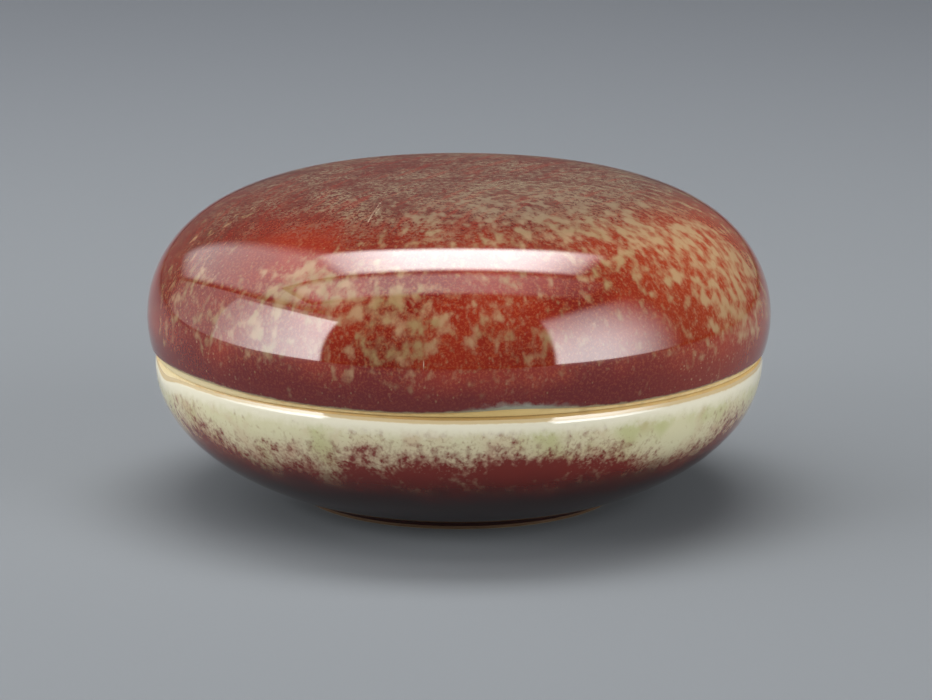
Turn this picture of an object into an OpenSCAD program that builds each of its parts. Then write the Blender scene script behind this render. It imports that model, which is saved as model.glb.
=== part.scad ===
// Round glazed porcelain box for seal paste. A bowl on a low cut foot carries a domed lid.
// The lid drops over the bowl's inner flange and stands on a ledge that is wiped bare of glaze.
// The bowl holds the paste. Every piece is turned about the Z axis.
// Sizes are in millimetres. The origin is the centre of the foot's resting face.

/* [Join] */
// Diameter where the lid meets the bowl
join_d = 70.3; // [62:0.1:80]
// Height of the join above the table
join_h = 16.9; // [15:0.1:22]
// Width of the ledge that the lid stands on
ledge_w = 2; // [1.7:0.1:2.6]
// Play between the lid and the flange, all round
seat_gap = 0.25; // [0.15:0.05:0.4]
// Thickness of the flange that keeps the lid in place
flange_t = 1.7; // [1.3:0.1:2.4]
// Height of the flange above the ledge
flange_h = 2.4; // [1.8:0.1:3.2]
// Room above the flange, before the lid's inner glaze starts
head_gap = 0.6; // [0.3:0.1:1]
// Rounding of the lid's rim and of the ledge's outer corner
rim_round = 0.3; // [0.2:0.05:0.5]

/* [Lid] */
// Height of the lid from the join to its crown
lid_h = 20.4; // [17:0.1:26]
// Height of the lid's widest ring above the join
lid_belly_h = 4.4; // [3:0.1:5.5]
// How far the widest ring stands out past the join
lid_swell = 0.85; // [0.4:0.05:1.6]
// Thickness of the lid at its crown
crown_t = 3; // [2.2:0.1:4]
// Fullness of the shoulder, where 2 is a plain ellipse
crown_shoulder = 3.6; // [2.4:0.1:4.4]
// Flatness of the crown, where 2 is a plain ellipse
crown_top = 2; // [1.8:0.1:2.6]

/* [Bowl] */
// Fullness of the bowl's side, where 2 is a plain ellipse
bowl_side = 2.2; // [1.8:0.1:2.8]
// Fullness of the bowl's underside, where 2 is a plain ellipse
bowl_under = 2; // [1.8:0.1:2.6]
// Height of the straight rim between the bare band and the belly
rim_straight = 0.2; // [0.1:0.1:1]
// Thickness of the bowl's floor above the foot recess
floor_t = 2.6; // [2:0.1:4]
// Fullness of the hollow's side
hollow_side = 2.8; // [2:0.1:3.2]
// Fullness of the hollow's floor
hollow_floor = 2.3; // [1.9:0.1:3]

/* [Foot] */
// Diameter of the foot ring
foot_d = 36.6; // [30:0.2:42]
// Width of the foot ring
foot_w = 2.3; // [1.8:0.1:3.5]
// Height of the foot ring where the bowl comes down to it
foot_h = 0.8; // [0.8:0.1:2.5]
// Depth of the recess inside the foot ring
foot_recess = 1.8; // [1.5:0.1:2.6]
// Rise of the recess towards its centre
recess_rise = 0.3; // [0:0.1:0.5]
// Rounding of the foot's edges, and of the corners where it meets the glaze
foot_round = 0.25; // [0.15:0.05:0.3]

/* [Glaze] */
// Thickness of the glaze where it stops at a bare edge
glaze_t = 0.15; // [0.1:0.05:0.25]
// Height left bare between the lid's rounded rim and its glaze
lid_bare_h = 0.1; // [0.05:0.05:0.6]
// Height left bare between the ledge's rounded corner and the bowl's glaze
bowl_bare_h = 0.5; // [0.1:0.1:1]
// Height left bare between the flange's rounded top and the glaze inside it
lip_bare_h = 0.4; // [0.1:0.1:0.8]

/* [Paste] */
// Height of the paste's edge above the hollow's floor
paste_edge_h = 3.8; // [2:0.1:5]
// Rise of the paste from its edge to its crown
paste_rise = 3.4; // [1.5:0.1:4.5]
// Fullness of the paste's mound
paste_mound = 2.8; // [2:0.1:3.6]
// Gap between the paste and the wall, closing to nothing on the floor
paste_gap = 0.1; // [0.05:0.05:0.3]

/* [Hidden] */
$fn = 128;
curve_steps = 44;    // flats along each long curve
corner_steps = 5;    // flats along each small rounding

join_r = join_d / 2;
lid_r = join_r + lid_swell;
bore_r = join_r - ledge_w;              // inside of the lid's rim
flange_r = bore_r - seat_gap;           // outside of the flange
flange_in_r = flange_r - flange_t;
flange_top = join_h + flange_h;
flange_round = flange_t * 0.4;          // leaves a fifth of the flange's top flat
root_fillet = seat_gap;                 // stays clear of the lid's rim
bore_top = flange_top + head_gap;       // where the lid's inner glaze starts
lid_top = join_h + lid_h;
foot_r = foot_d / 2;
foot_in_r = foot_r - foot_w;
foot_inner_bare_h = foot_recess - 2 * foot_round - glaze_t;
floor_z = foot_recess + recess_rise + floor_t;
hollow_r = flange_in_r - glaze_t;
paste_edge_z = floor_z + paste_edge_h;

// Profiles are lists of [radius, height], in order along the surface.

// An arc about a centre, between two angles
function arc(centre, r, from, to) =
    [for (i = [0:corner_steps])
        let (a = from + (to - from) * i / corner_steps)
        centre + r * [cos(a), sin(a)]];

// A quarter of a superellipse from the wall at from = 0 towards the axis at to = 90.
// rise is its height at the axis above z0, or its depth where it is negative.
function swell(r, rise, side, top, z0, from = 0, to = 90) =
    [for (i = [0:curve_steps])
        let (t = from + (to - from) * i / curve_steps)
        [r * pow(cos(t), 2 / side), z0 + rise * pow(sin(t), 2 / top)]];

function backwards(points) = [for (i = [len(points) - 1:-1:0]) points[i]];

// A closed profile without the points that two neighbouring pieces of it share
function joined(points) =
    [for (i = [0:len(points) - 1])
        let (before = points[(i + len(points) - 1) % len(points)])
        if (norm(points[i] - before) > 0.001) points[i]];

// The lid's outer glaze: over the crown, round the widest ring and in towards the join.
// Below the widest ring it is an ellipse that would pass through the join.
belly_z = join_h + lid_belly_h;
under_depth = lid_belly_h / sqrt(1 - pow(join_r / lid_r, 2));
function under_r(drop) = lid_r * sqrt(1 - pow(drop / under_depth, 2));
under_end = lid_belly_h - rim_round - lid_bare_h - glaze_t;
function lid_outside() = concat(
    backwards(swell(lid_r, lid_h - lid_belly_h, crown_shoulder, crown_top, belly_z)),
    [for (i = [1:corner_steps * 2])
        let (drop = under_end * i / (corner_steps * 2))
        [under_r(drop), belly_z - drop]]);

// The edge of that glaze, the bare band below it and the rim that stands on the ledge
rim_r = join_r - glaze_t;
function lid_rim() = concat(
    arc([under_r(under_end) - glaze_t, belly_z - under_end], glaze_t, 0, -90),
    arc([rim_r - rim_round, join_h + rim_round], rim_round, 0, -90),
    arc([bore_r + rim_round, join_h + rim_round], rim_round, -90, -180));

// The bare bore that slips over the flange, then the glazed dome above it
function lid_inside() = concat(
    arc([bore_r, bore_top + glaze_t], glaze_t, -90, -180),
    swell(bore_r - glaze_t, lid_top - crown_t - bore_top - glaze_t,
          crown_shoulder, crown_top, bore_top + glaze_t));

// The underside of the bowl from the axis out, and the inner side of the foot ring
function foot_inside() = concat(
    [[0, foot_recess + recess_rise]],
    backwards(arc([foot_in_r - glaze_t - foot_round, foot_recess - foot_round],
                  foot_round, 0, 90)),
    backwards(arc([foot_in_r, foot_inner_bare_h + glaze_t], glaze_t, -90, -180)));

// The bare foot ring and the edge of the glaze that comes down to it
glaze_foot_z = foot_h - foot_round;
function foot_ring() = concat(
    backwards(arc([foot_in_r + foot_round, foot_round], foot_round, -90, -180)),
    backwards(arc([foot_r - foot_round, foot_round], foot_round, 0, -90)),
    backwards(arc([foot_r, glaze_foot_z], glaze_t, 0, -90)),
    backwards(arc([foot_r + glaze_t + foot_round, glaze_foot_z], foot_round, 90, 180)));

// The bowl's outer glaze, from the foot up to the bare band under the rim
bowl_foot_r = foot_r + glaze_t + foot_round;
bowl_lip_z = join_h - rim_round - bowl_bare_h;
bowl_belly_z = bowl_lip_z - glaze_t - rim_straight;
bowl_foot_t = acos(pow(bowl_foot_r / join_r, bowl_side / 2));
bowl_depth = (bowl_belly_z - foot_h) / pow(sin(bowl_foot_t), 2 / bowl_under);
function bowl_outside() = concat(
    backwards(swell(join_r, -bowl_depth, bowl_side, bowl_under, bowl_belly_z,
                    to = bowl_foot_t)),
    backwards(arc([join_r - glaze_t, bowl_lip_z - glaze_t], glaze_t, 90, 0)));

// The bare rim and ledge, and the flange that stands on it
function bowl_seat() = concat(
    arc([rim_r - rim_round, join_h - rim_round], rim_round, 0, 90),
    backwards(arc([flange_r + root_fillet, join_h + root_fillet],
                  root_fillet, -180, -90)),
    arc([flange_r - flange_round, flange_top - flange_round], flange_round, 0, 90),
    arc([flange_in_r + flange_round, flange_top - flange_round], flange_round, 90, 180),
    arc([flange_in_r, flange_top - flange_round - lip_bare_h - glaze_t], glaze_t, 90, 180));

// The glazed hollow, from the height of the join down to the floor at the axis
function hollow() =
    swell(hollow_r, floor_z - join_h, hollow_side, hollow_floor, join_h);

// The paste's underside follows the hollow's own points, drawn in by the gap, from the
// paste's edge to the axis.
paste_share = (hollow_r - paste_gap) / hollow_r;
paste_edge_t = asin(pow((join_h - paste_edge_z) / (join_h - floor_z), hollow_floor / 2));
paste_edge_r = paste_share * hollow_r * pow(cos(paste_edge_t), 2 / hollow_side);
function paste_underside() = concat(
    [[paste_edge_r, paste_edge_z]],
    [for (p = hollow())
        if (p[1] < paste_edge_z) [p[0] * paste_share, p[1]]]);
function paste_mound_top() =
    backwards(swell(paste_edge_r, paste_rise, paste_mound, 2, paste_edge_z));

module lid() {
    color([0.55, 0.14, 0.09])
        rotate_extrude()
            polygon(joined(concat(lid_outside(), lid_rim(), lid_inside())));
}

module base() {
    color([0.84, 0.82, 0.68])
        rotate_extrude()
            polygon(joined(concat(foot_inside(), foot_ring(), bowl_outside(), bowl_seat(),
                                  hollow())));
}

module seal_paste() {
    color([0.78, 0.10, 0.05])
        rotate_extrude()
            polygon(joined(concat(paste_underside(), paste_mound_top())));
}

base();
lid();
seal_paste();
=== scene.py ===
"""Dresses the seal paste box: a mottled copper-red lid, a cream bowl and the paste inside.

Profiles are in millimetres, as [radius, height], and the meshes are in metres. An azimuth is
in degrees from the front (-Y) towards the right (+X).
"""

import logging
import math
from dataclasses import dataclass
from enum import Enum, IntEnum
from itertools import accumulate
from typing import Any, Callable, Sequence

import bpy
from mathutils import Matrix, Vector


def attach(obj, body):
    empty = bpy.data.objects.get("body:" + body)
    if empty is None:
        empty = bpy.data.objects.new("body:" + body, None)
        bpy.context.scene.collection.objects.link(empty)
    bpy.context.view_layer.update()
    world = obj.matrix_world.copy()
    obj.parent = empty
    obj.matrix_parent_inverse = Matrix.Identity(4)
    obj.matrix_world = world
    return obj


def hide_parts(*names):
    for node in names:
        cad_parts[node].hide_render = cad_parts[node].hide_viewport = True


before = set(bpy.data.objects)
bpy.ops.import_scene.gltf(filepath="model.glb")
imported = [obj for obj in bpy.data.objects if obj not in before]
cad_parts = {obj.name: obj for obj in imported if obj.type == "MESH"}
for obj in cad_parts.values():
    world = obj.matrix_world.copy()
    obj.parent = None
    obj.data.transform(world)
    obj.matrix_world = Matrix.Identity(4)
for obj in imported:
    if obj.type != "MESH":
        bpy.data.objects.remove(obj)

MM = 0.001

log = logging.getLogger("seal_paste_box")

Point = tuple[float, float]
Colour = tuple[float, float, float, float]
Span = tuple[float, float, float, float]
Socket = bpy.types.NodeSocket


def shade(red: int, green: int, blue: int) -> Colour:
    """Turns a colour from a swatch, 0 to 255 a channel, into the linear one that nodes take.

    Args:
        red: Red, 0 to 255.
        green: Green, 0 to 255.
        blue: Blue, 0 to 255.

    Returns:
        The linear colour with an alpha of 1.
    """
    linear = []
    for channel in (red / 255, green / 255, blue / 255):
        low = channel <= 0.04045
        linear.append(channel / 12.92 if low else ((channel + 0.055) / 1.055) ** 2.4)
    return (linear[0], linear[1], linear[2], 1.0)


def on_wall(azimuth: float, radius: float, height: float) -> Vector:
    """A place on the box, in millimetres.

    Args:
        azimuth: Degrees from the front towards the right.
        radius: Distance from the axis.
        height: Height above the table.

    Returns:
        The place as x, y and z.
    """
    turn = math.radians(azimuth)
    return Vector((radius * math.sin(turn), -radius * math.cos(turn), height))


def added(name: str, data: bpy.types.ID) -> bpy.types.Object:
    """Adds an object to the scene."""
    made = bpy.data.objects.new(name, data)
    bpy.context.scene.collection.objects.link(made)
    return made


def emptied(holder: Any) -> bpy.types.NodeTree:
    """Gives a material, a lamp or a world an empty node tree."""
    holder.use_nodes = True
    holder.node_tree.nodes.clear()
    return holder.node_tree


class Graph:
    """A node tree while it is being built, for shaders and for geometry alike."""

    def __init__(self, tree: bpy.types.NodeTree) -> None:
        """Takes the tree that the nodes go into."""
        self.tree = tree

    def feed(self, socket: Socket, value: Any) -> None:
        """Links a socket to another one, or sets its value.

        Args:
            socket: The input to feed.
            value: An output socket, or a plain value.
        """
        if isinstance(value, Socket):
            self.tree.links.new(value, socket)
        else:
            socket.default_value = value

    def add(self, kind: str, feeds: dict[Any, Any] | None = None, **settings: Any) -> bpy.types.Node:
        """Adds a node.

        Args:
            kind: The node's type.
            feeds: Values or sockets for its inputs, by name or index.
            **settings: Its properties.

        Returns:
            The node.
        """
        node = self.tree.nodes.new(kind)
        for name, value in settings.items():
            setattr(node, name, value)
        for key, value in (feeds or {}).items():
            self.feed(node.inputs[key], value)
        return node

    def math(self, operation: str, *values: Any) -> Socket:
        """Adds a Math node on up to three values and returns its output."""
        return self.add("ShaderNodeMath", dict(enumerate(values)), operation=operation).outputs[0]

    def times(self, *values: Any) -> Socket:
        """Multiplies values, from the first on."""
        product = values[0]
        for value in values[1:]:
            product = self.math("MULTIPLY", product, value)
        return product

    def centred(self, noise: Any) -> Socket:
        """Moves the middle of a noise from 0.5 to 0."""
        return self.math("SUBTRACT", noise, 0.5)

    def around(self, noise: Any, swing: Any, base: Any) -> Socket:
        """Lets a base swing with a noise."""
        return self.math("MULTIPLY_ADD", self.centred(noise), swing, base)

    def vector(self, operation: str, *values: Any) -> Socket:
        """Adds a Vector Math node and returns its vector output."""
        node = self.add("ShaderNodeVectorMath", dict(enumerate(values)), operation=operation)
        return node.outputs["Vector"]

    def scaled(self, vector: Any, scale: Any) -> Socket:
        """Scales a vector by a number and returns the result."""
        feeds = {"Vector": vector, "Scale": scale}
        return self.add("ShaderNodeVectorMath", feeds, operation="SCALE").outputs["Vector"]

    def length(self, operation: str, *values: Any) -> Socket:
        """Adds a Vector Math node that measures, and returns its number."""
        node = self.add("ShaderNodeVectorMath", dict(enumerate(values)), operation=operation)
        return node.outputs["Value"]

    def split(self, vector: Any) -> tuple[Socket, ...]:
        """Splits a vector into its three numbers."""
        return tuple(self.add("ShaderNodeSeparateXYZ", {0: vector}).outputs)

    def combine(self, x: Any, y: Any, z: Any) -> Socket:
        """Makes a vector out of three numbers."""
        return self.add("ShaderNodeCombineXYZ", {0: x, 1: y, 2: z}).outputs[0]

    def shifted(self, place: Any, step: Any) -> Socket:
        """Moves a place by the same number along each axis."""
        return self.vector("ADD", place, self.combine(step, step, step))

    def radius(self, x: Any, y: Any) -> Socket:
        """Measures how far a place is from the axis."""
        return self.length("LENGTH", self.combine(x, y, 0.0))

    def ramp(self, value: Any, start: Any, end: Any, low: Any = 0.0, high: Any = 1.0) -> Socket:
        """Maps a value smoothly from one range to another.

        Args:
            value: What to map.
            start: Where the ramp starts.
            end: Where it ends, which may lie below its start.
            low: The result at the start.
            high: The result at the end.

        Returns:
            The result, held at its ends.
        """
        feeds = {"Value": value, "From Min": start, "From Max": end, "To Min": low, "To Max": high}
        return self.add("ShaderNodeMapRange", feeds, interpolation_type="SMOOTHSTEP").outputs["Result"]

    def blend(self, share: Any, first: Any, second: Any) -> Socket:
        """Mixes two colours.

        Args:
            share: How much of the second one there is.
            first: The colour at a share of 0.
            second: The colour at a share of 1.

        Returns:
            The mixed colour.
        """
        return self.add("ShaderNodeMix", {0: share, 6: first, 7: second}, data_type="RGBA").outputs[2]

    def noise(self, at: Any, size: Any, detail: float = 2.0, rough: float = 0.5, warp: float = 0.0,
              output: int = 0) -> Socket:
        """Adds a Noise Texture whose grains are about as wide as a given size.

        Args:
            at: Where to read it.
            size: The width of a grain, in the unit of the place.
            detail: How many finer layers it has.
            rough: How strong the finer layers are.
            warp: How far its grains are distorted.
            output: 0 for a number, or 1 for three of them as a colour.

        Returns:
            The noise.
        """
        scale = self.math("DIVIDE", 1.0, size) if isinstance(size, Socket) else 1 / size
        feeds = {"Vector": at, "Scale": scale, "Detail": detail, "Roughness": rough, "Distortion": warp}
        return self.add("ShaderNodeTexNoise", feeds).outputs[output]

    def place(self, group: bpy.types.NodeTree, *values: Any) -> Socket:
        """Places a shader group, feeds its inputs in their order, and returns its output."""
        return self.add("ShaderNodeGroup", dict(enumerate(values)), node_tree=group).outputs[0]


class Sockets(Enum):
    """The kinds of socket that a group's interface uses."""

    NUMBER = "NodeSocketFloat"
    WHOLE = "NodeSocketInt"
    VECTOR = "NodeSocketVector"
    GEOMETRY = "NodeSocketGeometry"
    MATERIAL = "NodeSocketMaterial"


class Effects:
    """The shader groups that the finishes share. Their lengths are in millimetres.

    The first input of each one is the place where it is read.
    """

    VECTORS = ("Point", "Centre", "Start", "End")
    MOTTLE_FINE = 0.26
    MOTTLE_FRAY = 0.18
    MOTTLE_EMPTY = 0.72
    MOTTLE_FALL = 0.42
    SPECK_SWING = 0.8
    SPECK_LEAST = 0.4
    SPECK_CORE = 0.4
    HEM_GRAIN = 0.9
    HEM_CORE = 0.2
    SCRATCH_GRAIN = 0.5
    SCRATCH_BROKEN = (0.36, 0.56)
    SKIN_BROAD = 4.0
    SKIN_CLOSE = 0.7
    SKIN_RIPPLE = 0.09
    PINHOLE_SPACING = 1 / 0.55
    PINHOLE_SHARE = 0.3
    PINHOLE_EDGE = (0.055, 0.015)

    def __init__(self) -> None:
        """Builds each group once."""
        self.flow = self._group("Flow", ("Calm Radius", "Stretch"), "Point", self._flow)
        self.patch = self._group("Patch", ("Centre", "Reach", "Strength"), "Density", self._patch)
        self.mottle = self._group("Mottle", ("Density", "Grain", "Softness"), "Mask", self._mottle)
        self.specks = self._group("Specks", ("Spacing", "Size", "Share"), "Mask", self._specks)
        self.hem = self._group("Hem", ("Distance", "Width", "Raggedness"), "Mask", self._hem)
        self.scratch = self._group("Scratch", ("Start", "End", "Width"), "Mask", self._scratch)
        self.skin = self._group("Glaze skin", ("Wave", "Pinholes"), "Height", self._skin)

    def _group(self, name: str, inputs: Sequence[str], output: str,
               fill: Callable[[Graph, Any], Socket]) -> bpy.types.NodeTree:
        """Makes one group.

        Args:
            name: The group's name.
            inputs: The names of its inputs after the place.
            output: The name of its output.
            fill: Adds its nodes and returns what the output shows.

        Returns:
            The group.
        """
        tree = bpy.data.node_groups.new(name, "ShaderNodeTree")
        ways = {"INPUT": ("Point", *inputs), "OUTPUT": (output,)}
        for way, labels in ways.items():
            for label in labels:
                kind = Sockets.VECTOR if label in self.VECTORS else Sockets.NUMBER
                tree.interface.new_socket(label, in_out=way, socket_type=kind.value)
        graph = Graph(tree)
        result = fill(graph, graph.add("NodeGroupInput").outputs)
        graph.add("NodeGroupOutput", {0: result})
        return tree

    @staticmethod
    def _flow(graph: Graph, given: Any) -> Socket:
        """Draws a pattern out down the slope, outside the calm radius of the crown."""
        x, y, z = graph.split(given["Point"])
        radius = graph.math("MAXIMUM", graph.radius(x, y), 0.001)
        calm = graph.math("MINIMUM", radius, given["Calm Radius"])
        rest = graph.times(graph.math("SUBTRACT", radius, calm), given["Stretch"])
        share = graph.math("DIVIDE", graph.math("ADD", calm, rest), radius)
        return graph.combine(graph.times(x, share), graph.times(y, share), graph.times(z, given["Stretch"]))

    @staticmethod
    def _patch(graph: Graph, given: Any) -> Socket:
        """Rises from nothing at its reach to its strength at its centre."""
        away = graph.length("DISTANCE", given["Point"], given["Centre"])
        return graph.ramp(away, given["Reach"], 0.0, 0.0, given["Strength"])

    def _mottle(self, graph: Graph, given: Any) -> Socket:
        """Soft-edged blotches that cover about as much of the surface as the density says."""
        coarse = graph.noise(given["Point"], given["Grain"], 1.6, 0.42, 0.08)
        fine = graph.noise(given["Point"], graph.times(given["Grain"], self.MOTTLE_FINE), 2.0, 0.6)
        uneven = graph.around(fine, self.MOTTLE_FRAY, coarse)
        bar = graph.math("MULTIPLY_ADD", given["Density"], -self.MOTTLE_FALL, self.MOTTLE_EMPTY)
        low = graph.math("SUBTRACT", bar, given["Softness"])
        return graph.ramp(uneven, low, graph.math("ADD", bar, given["Softness"]))

    def _specks(self, graph: Graph, given: Any) -> Socket:
        """Small round dots in a share of evenly scattered places."""
        feeds = {"Vector": given["Point"], "Scale": graph.math("DIVIDE", 1.0, given["Spacing"])}
        cells = graph.add("ShaderNodeTexVoronoi", feeds)
        chance, girth, _ = graph.split(cells.outputs["Color"])
        away = graph.times(cells.outputs["Distance"], given["Spacing"])
        girth = graph.math("MULTIPLY_ADD", girth, self.SPECK_SWING, self.SPECK_LEAST)
        size = graph.times(given["Size"], girth)
        dot = graph.ramp(away, size, graph.times(size, self.SPECK_CORE))
        return graph.times(dot, graph.math("LESS_THAN", chance, given["Share"]))

    def _hem(self, graph: Graph, given: Any) -> Socket:
        """Fades from 1 at the edge of the glaze to 0 at an uneven width."""
        ragged = graph.noise(given["Point"], self.HEM_GRAIN, 3.0, 0.6)
        swing = graph.times(graph.centred(ragged), given["Raggedness"])
        width = graph.times(given["Width"], graph.math("MULTIPLY_ADD", swing, 2.0, 1.0))
        return graph.ramp(given["Distance"], width, graph.times(width, self.HEM_CORE))

    def _scratch(self, graph: Graph, given: Any) -> Socket:
        """A fine broken mark from one place to another."""
        away = graph.vector("SUBTRACT", given["Point"], given["Start"])
        span = graph.vector("SUBTRACT", given["End"], given["Start"])
        along = graph.math("DIVIDE", graph.length("DOT_PRODUCT", away, span),
                           graph.length("DOT_PRODUCT", span, span))
        along = graph.math("MINIMUM", graph.math("MAXIMUM", along, 0.0), 1.0)
        near = graph.vector("SUBTRACT", away, graph.scaled(span, along))
        line = graph.ramp(graph.length("LENGTH", near), given["Width"], 0.0)
        broken = graph.noise(given["Point"], self.SCRATCH_GRAIN)
        return graph.times(line, graph.ramp(broken, *self.SCRATCH_BROKEN))

    def _skin(self, graph: Graph, given: Any) -> Socket:
        """The slight waves of a fired glaze, with a few pinholes."""
        broad = graph.noise(given["Point"], self.SKIN_BROAD, 1.0)
        close = graph.noise(given["Point"], self.SKIN_CLOSE)
        wave = graph.times(graph.math("MULTIPLY_ADD", close, self.SKIN_RIPPLE, broad), given["Wave"])
        feeds = {"Vector": given["Point"], "Scale": 1 / self.PINHOLE_SPACING}
        cells = graph.add("ShaderNodeTexVoronoi", feeds).outputs
        kept = graph.math("LESS_THAN", graph.split(cells["Color"])[0], self.PINHOLE_SHARE)
        hole = graph.ramp(cells["Distance"], *self.PINHOLE_EDGE)
        depth = graph.times(hole, kept, given["Pinholes"])
        return graph.math("SUBTRACT", wave, depth)


@dataclass(frozen=True)
class Patch:
    """A place on the box where a mottling gets denser, or thinner with a strength below 0."""

    azimuth: float
    radius: float
    height: float
    reach: float
    strength: float


@dataclass(frozen=True)
class Scratch:
    """A fine mark of wear between two places on the glaze."""

    start: tuple[float, float, float]
    end: tuple[float, float, float]
    width: float
    strength: float


@dataclass(frozen=True)
class Specks:
    """Small round dots of one colour, scattered over a finish."""

    spacing: float
    size: float
    share: float
    strength: float
    colour: Colour


@dataclass(frozen=True)
class Hem:
    """A tone that a finish takes on along the edge of the glaze."""

    width: float
    raggedness: float
    strength: float
    colour: Colour


@dataclass(frozen=True)
class Cloud:
    """A noise, and how much of it shows.

    Its span holds two levels of the noise, and the strengths that they show with.
    """

    size: float
    detail: float = 2.0
    rough: float = 0.5
    warp: float = 0.0
    span: Span = (0.0, 1.0, 0.0, 1.0)


@dataclass(frozen=True)
class Blotches:
    """One size of blotch in a mottling. Crowding is a share of the mottling's density."""

    crowding: float
    grain: float
    softness: float
    strength: float


class Coat(Graph):
    """The nodes of one finish. They are read in millimetres on the piece."""

    CLUSTER = 4.5
    CLUSTER_SWING = 2.2
    SWIRL = 7.0
    SWIRL_PUSH = 9.0

    def __init__(self, effects: Effects, name: str) -> None:
        """Starts a material.

        Args:
            effects: The shader groups that it may use.
            name: Its name.
        """
        self.material = bpy.data.materials.new(name)
        super().__init__(emptied(self.material))
        self.effects = effects
        place = self.add("ShaderNodeTexCoord").outputs["Object"]
        self.point = self.mapped(place, (1 / MM,) * 3)

    def mapped(self, place: Any, scale: Sequence[float], turn: float = 0.0) -> Socket:
        """Scales a place, and turns it about the axis."""
        feeds = {"Vector": place, "Rotation": (0.0, 0.0, turn), "Scale": scale}
        return self.add("ShaderNodeMapping", feeds).outputs[0]

    def attribute(self, name: str) -> Socket:
        """Reads one of the numbers that the mesh holds."""
        return self.add("ShaderNodeAttribute", attribute_name=name).outputs["Fac"]

    def noised(self, cloud: Cloud, at: Any = None) -> Socket:
        """Reads a cloud's own noise."""
        return self.noise(at or self.point, cloud.size, cloud.detail, cloud.rough, cloud.warp)

    def clouded(self, cloud: Cloud, at: Any = None) -> Socket:
        """Reads how much of a cloud shows."""
        return self.ramp(self.noised(cloud, at), *cloud.span)

    def blotched(self, blotches: Blotches, at: Any, density: Any) -> Socket:
        """Sets out blotches and returns their mask."""
        mask = self.place(self.effects.mottle, at, self.times(density, blotches.crowding),
                          blotches.grain, blotches.softness)
        return self.times(mask, blotches.strength)

    def patch(self, patch: Patch, at: Any = None) -> Socket:
        """Measures how strong a patch is."""
        centre = on_wall(patch.azimuth, patch.radius, patch.height)
        return self.place(self.effects.patch, at or self.point, centre, patch.reach, patch.strength)

    def strongest(self, patches: Sequence[Patch]) -> Socket:
        """Takes the strongest of some patches."""
        most = 0.0
        for patch in patches:
            most = self.math("MAXIMUM", most, self.patch(patch))
        return most

    def density(self, patches: Sequence[Patch], base: Any) -> Socket:
        """Adds up the patches of a mottling.

        Args:
            patches: The patches.
            base: The density outside them.

        Returns:
            The density.
        """
        cluster = self.noise(self.point, self.CLUSTER, 1.0)
        swirl = self.noise(self.point, self.SWIRL, 1.0, output=1)
        swirl = self.vector("SUBTRACT", swirl, (0.5,) * 3)
        pushed = self.vector("MULTIPLY_ADD", swirl, (self.SWIRL_PUSH,) * 3, self.point)
        total = base
        for patch in patches:
            total = self.math("ADD", total, self.patch(patch, pushed))
        return self.times(total, self.around(cluster, self.CLUSTER_SWING, 1.0))

    def dotted(self, colour: Any, specks: Specks, *masks: Any, at: Any = None) -> Socket:
        """Lays specks over a colour.

        Args:
            colour: The colour under them.
            specks: The specks.
            *masks: How strong they are from place to place.
            at: Where their pattern is read, if it isn't the place itself.

        Returns:
            The colour with its specks.
        """
        dots = self.place(self.effects.specks, at or self.point, specks.spacing, specks.size, specks.share)
        return self.blend(self.times(dots, *masks, specks.strength), colour, specks.colour)

    def hemmed(self, colour: Any, hem: Hem, away: Any, *masks: Any, tone: Any = None) -> Socket:
        """Lays a tone over a colour along the edge of the glaze.

        Args:
            colour: The colour under it.
            hem: The hem.
            away: The distance from the edge.
            *masks: How strong it is from place to place.
            tone: A tone that takes the place of the hem's own.

        Returns:
            The colour with its hem.
        """
        edge = self.place(self.effects.hem, self.point, away, hem.width, hem.raggedness)
        return self.blend(self.times(edge, *masks, hem.strength), colour, tone or hem.colour)

    def finish(self, colour: Any, roughness: Any, ior: float, height: Any) -> bpy.types.Material:
        """Adds the shader.

        Args:
            colour: The base colour.
            roughness: The roughness.
            ior: The index of refraction.
            height: The surface's own height, in millimetres.

        Returns:
            The material.
        """
        bump = self.add("ShaderNodeBump", {"Strength": 1.0, "Distance": MM, "Height": height})
        shader = self.add("ShaderNodeBsdfPrincipled", {
            "Base Color": colour, "IOR": ior, "Roughness": roughness, "Normal": bump.outputs["Normal"]})
        self.add("ShaderNodeOutputMaterial", {"Surface": shader.outputs["BSDF"]})
        return self.material


@dataclass(frozen=True)
class Glaze:
    """What every glazed surface has: a clear, hard gloss over its colour."""

    effects: Effects
    name: str
    roughness: float = 0.05
    thin_roughness: float = 0.06
    thin_span: tuple[float, float] = (0.1, 0.75)
    ior: float = 1.72
    wave: float = 0.006
    pinholes: float = 0.012

    def colour(self, coat: Coat, hem: Any) -> Socket:
        """The glaze's colour.

        Args:
            coat: The material's nodes.
            hem: The distance from the nearest edge of the glaze, in millimetres.

        Returns:
            The colour.
        """
        raise NotImplementedError

    def polish(self, coat: Coat, hem: Any) -> Socket:
        """The glaze's roughness, which grows where it thins out at its hem."""
        return coat.ramp(hem, *self.thin_span, self.thin_roughness, self.roughness)

    def material(self) -> bpy.types.Material:
        """Builds the material."""
        coat = Coat(self.effects, self.name)
        hem = coat.math("DIVIDE", coat.attribute("hem"), MM)
        height = coat.place(self.effects.skin, coat.point, self.wave, self.pinholes)
        return coat.finish(self.colour(coat, hem), self.polish(coat, hem), self.ior, height)


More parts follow.
